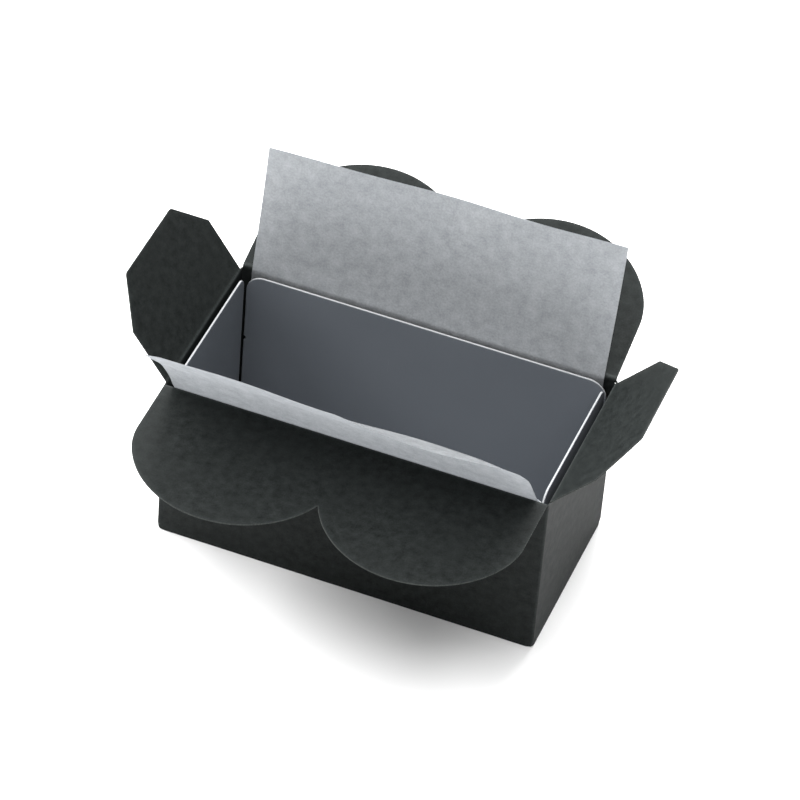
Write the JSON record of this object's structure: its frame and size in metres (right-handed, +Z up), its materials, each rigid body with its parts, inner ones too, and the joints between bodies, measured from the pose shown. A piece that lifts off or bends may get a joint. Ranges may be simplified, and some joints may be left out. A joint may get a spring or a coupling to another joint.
{
  "type": "folding paperboard presentation box",
  "caption": "Small black card box with scalloped front and back flaps, cut-corner side tabs, a loose grey board tray and a tissue wrap.",
  "frame": {"origin": "centre of the footprint, on the underside of the base", "axes": "+Z up, +X along the long side, +Y from the front wall to the back wall"},
  "size_m": [0.1401, 0.132, 0.0872],
  "materials": {
    "black_card": "matt black card, faint laid fibre",
    "grey_board": "smooth blue-grey board with white cut edges",
    "white_tissue": "translucent white tissue, fine mottle"
  },
  "bodies": {
    "carton": {"front_wall": "black_card", "back_wall": "black_card", "left_wall": "black_card", "right_wall": "black_card", "glue_seam_flap": "black_card", "bottom_front_flap": "black_card", "bottom_back_flap": "black_card", "bottom_left_flap": "black_card", "bottom_right_flap": "black_card", "tissue_base": "white_tissue", "tissue_front_run": "white_tissue", "tissue_back_run": "white_tissue"},
    "front_flap": {"front_scallop_flap": "black_card"},
    "back_flap": {"back_scallop_flap": "black_card"},
    "left_tab": {"left_tab_flap": "black_card"},
    "right_tab": {"right_tab_flap": "black_card"},
    "front_leaf": {"tissue_front_leaf": "white_tissue"},
    "back_leaf": {"tissue_back_leaf": "white_tissue"},
    "tray": {"tray_base": "grey_board", "tray_front_panel": "grey_board", "tray_front_hem": "grey_board", "tray_back_panel": "grey_board"},
    "tray_left": {"tray_left_panel": "grey_board"},
    "tray_right": {"tray_right_panel": "grey_board"}
  },
  "joints": [
    {"name": "front_flap_fold", "type": "hinge", "parent": "carton", "child": "front_flap", "pos_m": [0, -0.026, 0.05039], "axis": [1, 0, 0], "range_deg": [-181, 16]},
    {"name": "back_flap_fold", "type": "hinge", "parent": "carton", "child": "back_flap", "pos_m": [0, 0.026, 0.05078], "axis": [-1, 0, 0], "range_deg": [-162, 30]},
    {"name": "left_tab_fold", "type": "hinge", "parent": "carton", "child": "left_tab", "pos_m": [-0.0525, 0, 0.05], "axis": [0, -1, 0], "range_deg": [-126, 134]},
    {"name": "right_tab_fold", "type": "hinge", "parent": "carton", "child": "right_tab", "pos_m": [0.0525, 0, 0.05], "axis": [0, 1, 0], "range_deg": [-132, 128]},
    {"name": "front_leaf_fold", "type": "hinge", "parent": "carton", "child": "front_leaf", "pos_m": [0, -0.02465, 0.04947], "axis": [1, 0, 0], "range_deg": [-132.1, 11.7]},
    {"name": "back_leaf_fold", "type": "hinge", "parent": "carton", "child": "back_leaf", "pos_m": [0, 0.025, 0.04959], "axis": [-1, 0, 0], "range_deg": [-103.2, 19.2]},
    {"name": "tray_lift", "type": "slide", "parent": "carton", "child": "tray", "axis": [0, 0, 1], "range_m": [0, 0.052]},
    {"name": "tray_left_fold", "type": "hinge", "parent": "tray", "child": "tray_left", "pos_m": [-0.0506, 0, 0.00215], "axis": [0, 1, 0], "range_deg": [-0.9, 90]},
    {"name": "tray_right_fold", "type": "hinge", "parent": "tray", "child": "tray_right", "pos_m": [0.0506, 0, 0.00215], "axis": [0, -1, 0], "range_deg": [-1.9, 88.7]}
  ],
  "couplings": [
    {"joint": "front_leaf_fold", "follows": "front_flap_fold", "ratio": 0.72928},
    {"joint": "back_leaf_fold", "follows": "back_flap_fold", "ratio": 0.63642}
  ]
}
